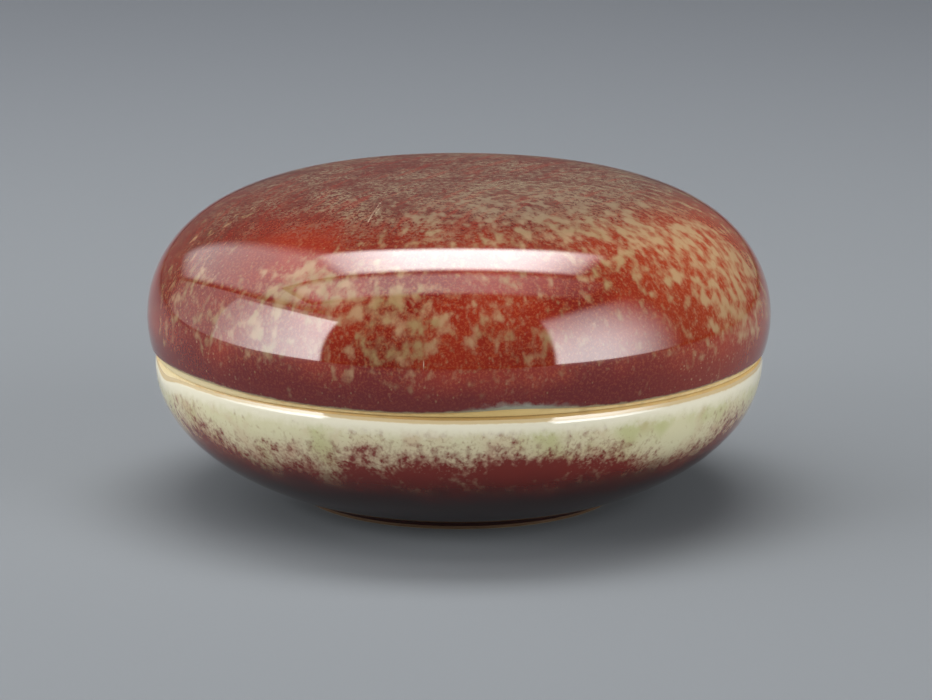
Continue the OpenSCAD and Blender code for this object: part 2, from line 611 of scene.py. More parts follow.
@dataclass(frozen=True)
class CopperRedGlaze(Glaze):
    """The lid's glaze: copper red that breaks to greenish beige and thickens towards its hem; the deep red
    there is partly painted shade.

    Spans hold where a tone starts, where it is full, and its strengths at both.
    """

    thin_roughness: float = 0.4
    red: Colour = shade(134, 33, 12)
    crimson: Colour = shade(110, 20, 8)
    # The deep red band near the rim: partly the thicker glaze, partly painted shade.
    liver_shade: Colour = shade(96, 5, 2)
    crown: Colour = shade(84, 22, 13)
    ember: Colour = shade(164, 84, 46)
    beige: Colour = shade(164, 130, 96)
    olive: Colour = shade(146, 122, 82)
    crown_beige: Colour = shade(136, 116, 92)
    # Paler, more orange tones of the thin patches; on the right shoulder they are painted light.
    lit_thin_red: Colour = shade(150, 52, 22)
    lit_thin_beige: Colour = shade(174, 146, 106)
    maroon: Colour = shade(64, 10, 6)
    worn: Colour = shade(196, 176, 152)
    clouds: Cloud = Cloud(11.0, 3.0, 0.55, span=(0.36, 0.62, 0.0, 1.0))
    cloud_sway: float = 5.0
    fizz: Cloud = Cloud(0.26, 2.0, 0.65)
    fizz_levels: tuple[float, float] = (0.46, 0.7)
    fizz_strengths: tuple[float, float] = (0.5, 0.22)
    pits: Cloud = Cloud(0.5, 3.0, 0.7, span=(0.54, 0.66, 0.0, 0.8))
    dust: Cloud = Cloud(0.42, 3.0, 0.7, span=(0.42, 0.6, 0.0, 1.0))
    drift: Cloud = Cloud(5.0, span=(0.34, 0.66, 0.15, 0.9))
    tint: Cloud = Cloud(3.2, span=(0.4, 0.62, 0.0, 1.0))
    streak: Cloud = Cloud(0.9, 3.0, 0.6, span=(0.5, 0.64, 0.0, 0.45))
    streak_shape: tuple[float, float, float] = (0.12, 1.0, 1.0)
    streak_rise: float = 0.3
    streak_turn: float = -1.06
    crown_strength: float = 0.85
    dust_upper: float = 0.6
    dust_dusk: float = 0.4
    worn_span: Span = (27.5, 17.0, 0.0, 0.26)
    edge: Hem = Hem(0.36, 1.2, 0.92, shade(172, 156, 118))
    veil: Hem = Hem(0.8, 1.3, 0.62, shade(160, 163, 148))
    lens: Patch = Patch(11, 35, 18.6, 9, 1.0)
    dots: Specks = Specks(0.5, 0.11, 0.5, 0.42, olive)
    grit: Specks = Specks(0.62, 0.17, 0.5, 0.7, beige)
    blots: Specks = Specks(1.5, 0.42, 0.45, 0.5, olive)
    iron: Specks = Specks(6.5, 0.22, 0.3, 0.7, shade(52, 26, 20))
    # The first patch, on the right shoulder, is painted light: a paler, more orange glaze where the light
    # falls.
    thin: tuple[Patch, ...] = (
        Patch(62, 31.5, 31.0, 24, 1.0),
        Patch(215, 32, 30.0, 20, 0.7),
    )
    scratches: tuple[Scratch, ...] = (
        Scratch((-26, 22.8, 35.7), (-31, 16.8, 36.8), 0.14, 0.75),
        Scratch((-26.6, 20.5, 36.2), (-28, 18.6, 36.5), 0.1, 0.5),
        Scratch((-6, 35.85, 22.2), (-6, 35.85, 24.4), 0.09, 0.8),
        Scratch((5.3, 35.85, 22.4), (5.3, 35.85, 24.2), 0.08, 0.6),
        Scratch((74, 18, 36.6), (88, 24, 35.4), 0.1, 0.45),
        Scratch((168, 12, 37.1), (184, 20, 36.3), 0.12, 0.5),
        Scratch((214, 30, 32.4), (219, 27, 34.2), 0.1, 0.4),
    )
    speckled: tuple[Patch, ...] = (
        Patch(52, 35.5, 20.5, 15, 1.0),
        Patch(-56, 35.5, 22.0, 16, 0.9),
        Patch(150, 35.5, 21.0, 14, 0.8),
    )
    dusk: tuple[Patch, ...] = (
        Patch(-72, 27, 34, 17, 1.0),
        Patch(-30, 20, 35, 14, 0.5),
        Patch(160, 22, 35, 18, 0.8),
    )
    liver_shade_span: Span = (22.6, 19.0, 0.0, 1.0)
    crown_across: Span = (31.0, 18.6, 0.0, 1.0)
    crown_up: Span = (28.0, 34.5, 0.0, 1.0)
    blotch: Blotches = Blotches(1.0, 0.96, 0.17, 0.86)
    fleck: Blotches = Blotches(0.8, 0.4032, 0.15, 0.4)
    stretch: float = 0.62
    calm_radius: float = 17.0
    base: float = 0.03
    densest: float = 0.7
    thinned_low: float = 0.3
    patches: tuple[Patch, ...] = (
        Patch(-15, 34.5, 27.5, 12, 0.5),
        Patch(-8, 35.2, 24.5, 6, 0.14),
        Patch(8, 34.5, 27, 10, 0.26),
        Patch(-37.5, 33.2, 29.2, 7, 0.34),
        Patch(-27, 32.6, 30.2, 6, 0.26),
        Patch(-38, 35, 26, 10, 0.28),
        Patch(-52, 27, 34, 12, -0.3),
        Patch(-63, 35, 25, 12, 0.2),
        Patch(60, 31.5, 31.5, 19, 0.52),
        Patch(74, 35, 26, 11, 0.22),
        Patch(36, 27, 34, 12, 0.3),
        Patch(8, 23, 36, 13, 0.36),
        Patch(40, 12, 37, 21, 0.42),
        Patch(-20, 21, 36, 8, 0.14),
        Patch(100, 24, 35, 15, 0.4),
        Patch(140, 33, 28, 14, 0.42),
        Patch(170, 20, 36, 14, 0.32),
        Patch(195, 34, 29, 13, 0.5),
        Patch(228, 34, 25, 10, 0.3),
        Patch(245, 28, 33, 12, 0.36),
        Patch(115, 35.5, 24, 8, 0.28),
    )

    def colour(self, coat: Coat, hem: Any) -> Socket:
        """Mixes the red ground, the beige mottling, the specks, the thin hem and the scratches."""
        x, y, height = coat.split(coat.point)
        radius = coat.radius(x, y)
        cloud = coat.noised(self.clouds)
        # Darker band near the rim: partly the thicker glaze, partly painted shade.
        low = coat.ramp(coat.around(cloud, self.cloud_sway, height), *self.liver_shade_span)
        # Thinner glaze, and painted light on the right shoulder.
        thin = coat.strongest(self.thin)
        upper = coat.times(coat.ramp(radius, *self.crown_across), coat.ramp(height, *self.crown_up))
        ground = self._wear(coat, self._ground(coat, cloud, low, thin), upper)

        flow = coat.place(self.effects.flow, coat.point, self.calm_radius, self.stretch)
        pale = coat.blend(coat.clouded(self.tint), self.beige, self.olive)
        pale = coat.blend(thin, pale, self.lit_thin_beige)
        pale = coat.blend(upper, pale, self.crown_beige)
        colour = coat.blend(self._mottle(coat, flow, low), ground, pale)

        speckled = coat.strongest(self.speckled)
        colour = coat.dotted(colour, self.dots, at=flow)
        colour = coat.dotted(colour, self.grit, speckled)
        colour = coat.dotted(colour, self.blots, speckled, at=flow)
        colour = coat.dotted(colour, self.iron)
        blue = coat.patch(self.lens)
        colour = coat.hemmed(colour, self.veil, hem, blue)
        pool = coat.blend(blue, self.edge.colour, self.veil.colour)
        colour = coat.hemmed(colour, self.edge, hem, tone=pool)
        for scratch in self.scratches:
            mark = coat.place(self.effects.scratch, coat.point, on_wall(*scratch.start),
                              on_wall(*scratch.end), scratch.width)
            colour = coat.blend(coat.times(mark, scratch.strength), colour, self.worn)
        return colour

    def polish(self, coat: Coat, hem: Any) -> Socket:
        """The glaze's roughness, which also grows over the crown, dulled by years of wiping."""
        x, y, _ = coat.split(coat.point)
        dulled = coat.ramp(coat.radius(x, y), *self.worn_span)
        return coat.math("MAXIMUM", super().polish(coat, hem), dulled)

    def _ground(self, coat: Coat, cloud: Any, low: Any, thin: Any) -> Socket:
        """Mixes the reds under the mottling.

        Args:
            coat: The material's nodes.
            cloud: The noise that clouds them.
            low: How deep red it is, near the rim, where the darker band is partly the glaze and partly
                painted shade.
            thin: How thin the glaze is, which on the right shoulder is painted light.

        Returns:
            The ground.
        """
        ground = coat.blend(coat.ramp(cloud, *self.clouds.span), self.crimson, self.red)
        ground = coat.blend(low, ground, self.liver_shade)
        ground = coat.blend(thin, ground, self.lit_thin_red)
        high, at_rim = self.fizz_strengths
        spark = coat.math("MULTIPLY_ADD", low, at_rim - high, high)
        fizz = coat.ramp(coat.noised(self.fizz), *self.fizz_levels, 0.0, spark)
        return coat.blend(fizz, ground, self.ember)

    def _wear(self, coat: Coat, ground: Any, upper: Any) -> Socket:
        """Darkens the crown, with pits, a film of beige dust and the streaks of wiping.

        Args:
            coat: The material's nodes.
            ground: The reds under it.
            upper: How far up the crown it is.

        Returns:
            The ground with its wear.
        """
        dusk = coat.math("MAXIMUM", upper, coat.strongest(self.dusk))
        ground = coat.blend(coat.times(dusk, self.crown_strength), ground, self.crown)
        ground = coat.blend(coat.times(coat.clouded(self.pits), dusk), ground, self.maroon)
        film = coat.times(coat.clouded(self.dust), coat.clouded(self.drift))
        dusted = coat.math("MULTIPLY_ADD", upper, self.dust_upper, coat.times(dusk, self.dust_dusk))
        ground = coat.blend(coat.times(film, dusted), ground, self.crown_beige)
        combed = coat.mapped(coat.point, (1.0, 1.0, self.streak_rise), self.streak_turn)
        streak = coat.clouded(self.streak, coat.vector("MULTIPLY", combed, self.streak_shape))
        return coat.blend(coat.times(streak, dusk), ground, self.red)

    def _mottle(self, coat: Coat, flow: Any, low: Any) -> Socket:
        """Sets out the beige blotches and the flecks between them.

        Args:
            coat: The material's nodes.
            flow: Where their pattern is read.
            low: How near the rim it is, where they thin out.

        Returns:
            Their mask.
        """
        density = coat.math("SUBTRACT", coat.density(self.patches, self.base),
                            coat.times(low, self.thinned_low))
        density = coat.math("MINIMUM", density, self.densest)
        return coat.math("MAXIMUM", coat.blotched(self.blotch, flow, density),
                         coat.blotched(self.fleck, flow, density))


@dataclass(frozen=True)
class CreamGlaze(Glaze):
    """The bowl's glaze: cream with a green tint, breaking to red-brown low on the side, and painted darker
    still towards the foot as shade.

    Spans hold the height where a tone starts, the height where it is full, and its strengths.
    """

    cream: Colour = shade(210, 204, 166)
    green: Colour = shade(184, 184, 128)
    haze: Colour = shade(184, 142, 116)
    umber: Colour = shade(122, 82, 54)
    red: Colour = shade(112, 22, 12)
    # The brown and the near-black below it darken the side towards the foot: the brown is partly the
    # glaze's red-brown, and both are painted shade.
    brown: Colour = shade(66, 15, 9)
    painted_shade: Colour = shade(34, 8, 5)
    red_span: Span = (14.6, 8.0, -0.12, 0.78)
    closed_span: Span = (9.2, 6.2, 0.0, 1.0)
    umber_span: Span = (11.6, 7.4, 0.0, 0.75)
    shaded_brown_span: Span = (10.4, 6.8, 0.0, 0.85)
    painted_shade_span: Span = (8.6, 5.0, 0.0, 0.92)
    rim_span: Span = (12.0, 14.0, 0.0, 1.0)
    # The pale rim is partly thin white glaze over the body and partly a painted highlight along the rolled
    # edge.
    rim: Hem = Hem(2.2, 0.6, 1.0, shade(230, 224, 200))
    rim_line: Hem = Hem(0.22, 0.7, 0.8, shade(206, 178, 126))
    dots: Specks = Specks(1.5, 0.13, 0.4, 0.55, shade(120, 66, 48))
    dashes: Specks = Specks(2.4, 0.26, 0.14, 0.75, red)
    dash_shape: tuple[float, float, float] = (0.42, 0.42, 1.2)
    tint: Cloud = Cloud(6.5, span=(0.46, 0.68, 0.0, 0.8))
    veil: Cloud = Cloud(4.0, 3.0, span=(0.5, 0.75, 0.0, 0.4))
    veil_offset: tuple[float, float, float] = (31.0, 7.0, 3.0)
    blush_share: float = 0.9
    blush_most: float = 0.75
    shade_sway: float = 3.0
    blotch: Blotches = Blotches(1.0, 0.82, 0.17, 0.6)
    fleck: Blotches = Blotches(1.1, 0.2952, 0.16, 0.38)
    stretch: float = 0.85
    calm_radius: float = 20.0
    patches: tuple[Patch, ...] = (
        Patch(-12, 34, 10.4, 10, 0.6),
        Patch(14, 34, 9.7, 11.5, 0.66),
        Patch(30, 33.5, 10, 6, 0.24),
        Patch(44, 33, 9.6, 9, -0.35),
        Patch(63, 33.5, 11.6, 8, 0.3),
        Patch(-34, 33.5, 10.5, 7, 0.16),
        Patch(-60, 34, 11.5, 9, 0.3),
        Patch(110, 33, 10, 10, -0.3),
        Patch(150, 34, 12, 9, 0.28),
        Patch(200, 33, 10, 9, -0.25),
        Patch(235, 34, 12, 9, 0.25),
    )

    def colour(self, coat: Coat, hem: Any) -> Socket:
        """Mixes the cream ground, the red mottling, the painted shade towards the foot, the brown specks
        and the pale rim, which is partly a painted highlight.
        """
        height = coat.split(coat.point)[2]
        ground = coat.blend(coat.clouded(self.tint), self.cream, self.green)
        density = coat.density(self.patches, coat.ramp(height, *self.red_span))
        veil = coat.noised(self.veil, coat.vector("ADD", coat.point, self.veil_offset))
        blush = coat.math("MULTIPLY_ADD", density, self.blush_share, coat.ramp(veil, *self.veil.span))
        ground = coat.blend(coat.math("MINIMUM", blush, self.blush_most), ground, self.haze)
        ground = coat.blend(coat.ramp(height, *self.umber_span), ground, self.umber)

        flow = coat.place(self.effects.flow, coat.point, self.calm_radius, self.stretch)
        mottle = coat.math("ADD", coat.blotched(self.blotch, flow, density),
                           coat.blotched(self.fleck, flow, density))
        mottle = coat.math("MAXIMUM", mottle, coat.ramp(height, *self.closed_span))
        colour = coat.blend(mottle, ground, self.red)
        # Painted shade: the side darkens towards the foot, along a swaying line.
        shade_sway = coat.around(veil, self.shade_sway, height)
        colour = coat.blend(coat.ramp(shade_sway, *self.shaded_brown_span), colour, self.brown)
        colour = coat.blend(coat.ramp(shade_sway, *self.painted_shade_span), colour, self.painted_shade)

        colour = coat.dotted(colour, self.dots)
        colour = coat.dotted(colour, self.dashes, at=coat.vector("MULTIPLY", coat.point, self.dash_shape))
        # Pale rim, partly thin glaze and partly painted highlight, then the tan line by the bare band.
        high = coat.ramp(height, *self.rim_span)
        return coat.hemmed(coat.hemmed(colour, self.rim, hem, high), self.rim_line, hem, high)


@dataclass(frozen=True)
class WhiteGlaze(Glaze):
    """The clear glaze inside the box, over white porcelain, with a trace of the paste."""

    white: Colour = shade(226, 228, 216)
    pool: Colour = shade(204, 212, 196)
    stain: Colour = shade(186, 60, 44)
    dots: Specks = Specks(4.2, 0.17, 0.3, 0.5, shade(122, 96, 70))
    tint: Cloud = Cloud(9.0, span=(0.4, 0.66, 0.0, 1.0))
    ragged: Cloud = Cloud(3.0, 4.0, 0.65)
    raggedness: float = 5.0
    stain_strength: float = 0.75
    stain_low: float = 0.0
    stain_high: float = 0.0

    def colour(self, coat: Coat, hem: Any) -> Socket:
        """Mixes the white ground with faint pools, and smears the paste's colour by its edge."""
        colour = coat.blend(coat.clouded(self.tint), self.white, self.pool)
        colour = coat.dotted(colour, self.dots)
        if self.stain_high > self.stain_low:
            height = coat.split(coat.point)[2]
            reach = coat.around(coat.noised(self.ragged), self.raggedness, height)
            smear = coat.ramp(reach, self.stain_high, self.stain_low, 0.0, self.stain_strength)
            colour = coat.blend(smear, colour, self.stain)
        return colour


@dataclass(frozen=True)
class BarePorcelain:
    """The unglazed body: dry buff porcelain, flashed orange beside the glaze, with painted light on its
    left side and painted shade at its front.
    """

    effects: Effects
    name: str
    body: Colour = shade(204, 172, 112)
    # The buff and the ochre are painted light on the left side and painted shade at the front, under the
    # lid's overhang.
    buff: Colour = shade(222, 206, 164)
    shaded_ochre: Colour = shade(160, 128, 70)
    dust: Colour = shade(178, 148, 100)
    # A dark burnt brown on the foot, partly burnt body and partly painted shade under the bowl.
    burnt_shade: Colour = shade(52, 32, 24)
    lit_side: Patch = Patch(-64, 35, 16.8, 26, 1.0)
    shaded_front: Patch = Patch(2, 35, 16.8, 19, 0.9)
    flash: Hem = Hem(0.5, 1.2, 0.5, shade(196, 140, 76))
    dots: Specks = Specks(1.3, 0.12, 0.25, 0.6, shade(118, 82, 50))
    cloud: Cloud = Cloud(2.4, 4.0, 0.6, span=(0.48, 0.74, 0.0, 0.55))
    burnt_low: float = 0.04
    burnt_high: float = 0.0
    burnt_strength: float = 0.92
    roughness: float = 0.72
    ior: float = 1.45
    ring_spacing: float = 0.2
    ring_depth: float = 0.012
    grit_size: float = 0.12
    grit_depth: float = 0.006

    def material(self) -> bpy.types.Material:
        """Builds the material."""
        coat = Coat(self.effects, self.name)
        x, y, z = coat.split(coat.point)
        colour = coat.blend(coat.clouded(self.cloud), self.body, self.dust)
        # Painted light on the left side, painted shade at the front.
        for side, tone in ((self.lit_side, self.buff), (self.shaded_front, self.shaded_ochre)):
            colour = coat.blend(coat.patch(side), colour, tone)
        colour = coat.hemmed(colour, self.flash, coat.math("DIVIDE", coat.attribute("hem"), -MM))
        colour = coat.dotted(colour, self.dots)
        # Burnt brown on the foot, partly painted shade under the bowl.
        if self.burnt_high > self.burnt_low:
            risen = coat.ramp(z, self.burnt_low, self.burnt_low * 2, 0.0, self.burnt_strength)
            burnt_shade_mask = coat.times(risen, coat.math("LESS_THAN", z, self.burnt_high))
            colour = coat.blend(burnt_shade_mask, colour, self.burnt_shade)
        closer = 1 / self.ring_spacing
        turned = coat.combine(0.0, coat.times(coat.radius(x, y), closer), coat.times(z, closer))
        grit = coat.times(coat.noise(coat.point, self.grit_size), self.grit_depth)
        height = coat.math("MULTIPLY_ADD", coat.noise(turned, 1.0), self.ring_depth, grit)
        return coat.finish(colour, self.roughness, self.ior, height)


@dataclass(frozen=True)
class OilyPaste:
    """Seal paste: vermilion ground into oil, with fine fibres that hold it together."""

    effects: Effects
    name: str
    vermilion: Colour = shade(196, 36, 20)
    bright: Colour = shade(216, 62, 34)
    # Darker red in the pressed folds: painted shade in the creases.
    crease_shade: Colour = shade(128, 16, 12)
    pale_fibre: Colour = shade(232, 96, 60)
    cloud: Cloud = Cloud(2.6, 4.0, 0.6, span=(0.38, 0.7, 0.0, 1.0))
    crease_shade_span: Span = (0.35, 1.0, 0.0, 0.7)
    fibre: Cloud = Cloud(0.22, 3.0, 0.6, 1.4, span=(0.56, 0.8, 0.0, 0.3))
    fibre_shape: tuple[float, float, float] = (1.0, 0.16, 0.7)
    fibre_turn: float = 0.6
    fibre_depth: float = 0.05
    lumps: Cloud = Cloud(0.6, 3.0, 0.6)
    lump_depth: float = 0.09
    gloss: Cloud = Cloud(1.8, span=(0.35, 0.65, 0.26, 0.5))
    ior: float = 1.47

    def material(self) -> bpy.types.Material:
        """Builds the material."""
        coat = Coat(self.effects, self.name)
        colour = coat.blend(coat.clouded(self.cloud), self.vermilion, self.bright)
        # Painted shade: darker where the folds are pressed in deeper.
        colour = coat.blend(coat.ramp(coat.attribute("sunk"), *self.crease_shade_span), colour, self.crease_shade)
        fibre = coat.noised(self.fibre, coat.mapped(coat.point, self.fibre_shape, self.fibre_turn))
        colour = coat.blend(coat.ramp(fibre, *self.fibre.span), colour, self.pale_fibre)
        height = coat.math("MULTIPLY_ADD", coat.noised(self.lumps), self.lump_depth,
                           coat.times(fibre, self.fibre_depth))
        return coat.finish(colour, coat.clouded(self.gloss), self.ior, height)


class Zone(IntEnum):
    """Which finish a stretch of a turned profile has."""

    OUTER = 0
    INNER = 1
    BARE = 2


@dataclass(frozen=True)
class Run:
    """A stretch of profile with one finish.

    spacing is how far apart its rings are, or 0 where they stay as drawn. give is how far into a
    bare stretch a wandering glaze edge is felt.
    """

    zone: Zone
    points: Sequence[Point]
    spacing: float = 0.0
    give: float = 0.0


@dataclass(frozen=True)
class PullBack:
    """A place where the glaze stops short of its hem, or runs past it with a depth below 0."""

    hem: int
    azimuth: float
    half_width: float
    depth: float


def arc(centre: Point, radius: float, start: float, end: float, steps: int = 5) -> list[Point]:
    """An arc about a centre.

    Args:
        centre: The centre, as radius and height.
        radius: The arc's own radius.
        start: The angle that it starts at, in degrees.
        end: The angle that it ends at, in degrees.
        steps: How many flats it has.

    Returns:
        Its points.
    """
    points = []
    for i in range(steps + 1):
        turn = math.radians(start + (end - start) * i / steps)
        points.append((centre[0] + radius * math.cos(turn), centre[1] + radius * math.sin(turn)))
    return points


def swell(radius: float, rise: float, side: float, top: float, base: float,
          end: float = 90) -> list[Point]:
    """A quarter of a superellipse from the wall towards the axis.

    Args:
        radius: Its radius at the wall.
        rise: Its height at the axis above the base, or its depth where that is negative.
        side: The fullness of its side.
        top: The fullness of its top.
        base: The height where it starts.
        end: The angle that it ends at, where 90 is the axis.

    Returns:
        Its points, close together.
    """
    steps = 600
    points = []
    for i in range(steps + 1):
        turn = math.radians(end * i / steps)
        reach = max(math.cos(turn), 0.0) ** (2 / side)
        points.append((radius * reach if i < steps or end < 90 else 0.0,
                       base + rise * math.sin(turn) ** (2 / top)))
    return points


def travelled_along(points: Sequence[Point]) -> list[float]:
    """Measures how far along a line each of its points lies."""
    return list(accumulate(map(math.dist, points, points[1:]), initial=0.0))


def spread(points: Sequence[Point], spacing: float, fine: float, fine_start: bool,
           fine_end: bool) -> list[Point]:
    """Sets points evenly along a line, closer together near its ends where they are wanted.

    Args:
        points: The line, drawn with many points.
        spacing: The distance between the new points.
        fine: The distance between them at a fine end.
        fine_start: Whether the start is fine.
        fine_end: Whether the end is fine.

    Returns:
        The new points, from the line's first to its last.
    """
    fade = 2.0
    travelled = travelled_along(points)
    total = travelled[-1]
    stops = [0.0]
    while stops[-1] < total:
        near = fade
        if fine_start:
            near = min(near, stops[-1])
        if fine_end:
            near = min(near, total - stops[-1])
        stops.append(stops[-1] + fine + (spacing - fine) * near / fade)
    stops = [stop * total / stops[-1] for stop in stops]
    made = []
    here = 0
    for stop in stops:
        while here < len(points) - 2 and travelled[here + 1] < stop:
            here += 1
        span = travelled[here + 1] - travelled[here]
        share = min(max((stop - travelled[here]) / span, 0.0), 1.0) if span else 0.0
        first, second = points[here], points[here + 1]
        made.append((first[0] + (second[0] - first[0]) * share,
                     first[1] + (second[1] - first[1]) * share))
    return made


@dataclass
class Station:
    """One ring of a turned piece, before it is turned."""

    point: Point
    zone: Zone
    hem: float = 0.0
    hem_share: float = 0.0
    hem_number: int = 0
    along: Point = (0.0, 0.0)


class Profile:
    """The rings of a turned piece, and how each one follows the nearest edge of the glaze."""

    GLAZE_GIVE = 2.4
    FINE = 0.13
    HEM_REACH = 1.2
    SAME_PLACE = 1e-4

    def __init__(self, runs: Sequence[Run]) -> None:
        """Sets out the rings of all runs, in order along the surface."""
        self.stations: list[Station] = []
        hems = []
        bare = [run.zone is Zone.BARE for run in runs]
        for i, run in enumerate(runs):
            hem_before = i > 0 and bare[i - 1] != bare[i]
            hem_after = i + 1 < len(runs) and bare[i + 1] != bare[i]
            points = list(run.points)
            if run.spacing:
                points = spread(points, run.spacing, self.FINE, hem_before, hem_after)
            if self.stations and math.dist(self.stations[-1].point, points[0]) < self.SAME_PLACE:
                self.stations[-1].zone = run.zone
                points = points[1:]
            if hem_before:
                give = run.give if bare[i] else runs[i - 1].give
                hems.append((len(self.stations) - 1, not bare[i], give))
            self.stations += [Station(point, run.zone) for point in points]
        if hems:
            self._follow(hems)

    def _follow(self, hems: Sequence[tuple[int, bool, float]]) -> None:
        """Works out each ring's distance from its hem.

        Args:
            hems: For each hem its ring, whether the glaze comes after it, and its give.
        """
        places = [station.point for station in self.stations]
        travelled = travelled_along(places)
        ways = [self._way_in(places, travelled, ring, glaze_after) for ring, glaze_after, _ in hems]
        for i, station in enumerate(self.stations):
            nearest = min(range(len(hems)), key=lambda k: abs(travelled[i] - travelled[hems[k][0]]))
            ring, glaze_after, give = hems[nearest]
            sign = 1.0 if glaze_after else -1.0
            station.hem = (travelled[i] - travelled[ring]) * sign
            station.hem_number = nearest
            reach = self.GLAZE_GIVE if station.hem >= 0 else give
            share = max(0.0, 1.0 - abs(station.hem) / reach) if reach else 0.0
            station.hem_share = share * share * (3 - 2 * share)
            station.along = ways[nearest]

    def _way_in(self, places: Sequence[Point], travelled: Sequence[float], ring: int,
                glaze_after: bool) -> Point:
        """Finds the direction from a hem into its glaze, past the roll of its edge.

        Args:
            places: The rings' places.
            travelled: How far along the surface each one lies.
            ring: The hem's ring.
            glaze_after: Whether the glaze comes after it.

        Returns:
            The direction, with a length of 1.
        """
        step = 1 if glaze_after else -1
        far = ring + step
        while 0 < far < len(places) - 1 and abs(travelled[far] - travelled[ring]) < self.HEM_REACH:
            far += step
        span = math.dist(places[ring], places[far])
        return ((places[far][0] - places[ring][0]) / span,
                (places[far][1] - places[ring][1]) / span)

    def mesh(self, name: str) -> bpy.types.Mesh:
        """Makes a mesh with one loose point for each ring, in metres.

        Args:
            name: The mesh's name.

        Returns:
            The mesh, with each ring's zone and hem as attributes.
        """
        made = bpy.data.meshes.new(name)
        made.from_pydata([(s.point[0] * MM, 0.0, s.point[1] * MM) for s in self.stations], [], [])
        columns = {
            "zone": ("INT", "value", [int(s.zone) for s in self.stations]),
            "hem": ("FLOAT", "value", [s.hem * MM for s in self.stations]),
            "hem_share": ("FLOAT", "value", [s.hem_share for s in self.stations]),
            "hem_number": ("INT", "value", [s.hem_number for s in self.stations]),
            "along": ("FLOAT_VECTOR", "vector",
                      [number for s in self.stations for number in (s.along[0], 0.0, s.along[1])]),
        }
        for label, (kind, key, values) in columns.items():
            made.attributes.new(label, kind, "POINT").data.foreach_set(key, values)
        return made


class ShapeTree(Graph):
    """Geometry Nodes with named inputs, which are set before the tree is run."""

    def __init__(self, name: str, inputs: dict[Sockets, Sequence[str]]) -> None:
        """Starts the tree.

        Args:
            name: Its name.
            inputs: The names of its inputs after the geometry, by kind.
        """
        super().__init__(bpy.data.node_groups.new(name, "GeometryNodeTree"))
        self.sockets: dict[str, str] = {}
        for kind, labels in {Sockets.GEOMETRY: ("Geometry",), **inputs}.items():
            for label in labels:
                socket = self.tree.interface.new_socket(label, in_out="INPUT", socket_type=kind.value)
                self.sockets[label] = socket.identifier
        self.tree.interface.new_socket("Geometry", in_out="OUTPUT", socket_type=Sockets.GEOMETRY.value)
        self.entry = self.add("NodeGroupInput").outputs

    def read(self, label: str, kind: str) -> Socket:
        """Reads one of the geometry's named attributes."""
        return self.add("GeometryNodeInputNamedAttribute", {"Name": label}, data_type=kind).outputs[0]

    def store(self, shape: Any, label: str, value: Any, kind: str = "FLOAT",
              domain: str = "POINT") -> Socket:
        """Keeps a value on the geometry under a name."""
        feeds = {"Geometry": shape, "Name": label, "Value": value}
        node = self.add("GeometryNodeStoreNamedAttribute", feeds, data_type=kind, domain=domain)
        return node.outputs[0]

    def changed(self, kind: str, shape: Any, **feeds: Any) -> Socket:
        """Passes the geometry through one more node."""
        return self.add(kind, {"Geometry": shape, **feeds}).outputs[0]

    def run(self, piece: bpy.types.Object, values: dict[str, Any]) -> bpy.types.Object:
        """Runs the tree on a piece.

        Args:
            piece: The piece.
            values: The tree's inputs, by name.

        Returns:
            The same piece with the result as its plain mesh, and no modifier left on it.
        """
        modifier = piece.modifiers.new(self.tree.name, "NODES")
        modifier.node_group = self.tree
        for label, value in values.items():
            modifier[self.sockets[label]] = value
        bpy.context.view_layer.update()
        graph = bpy.context.evaluated_depsgraph_get()
        result = bpy.data.meshes.new_from_object(piece.evaluated_get(graph),
                                                 preserve_all_data_layers=True, depsgraph=graph)
        result.name = piece.name
        piece.modifiers.clear()
        piece.data = result
        return piece


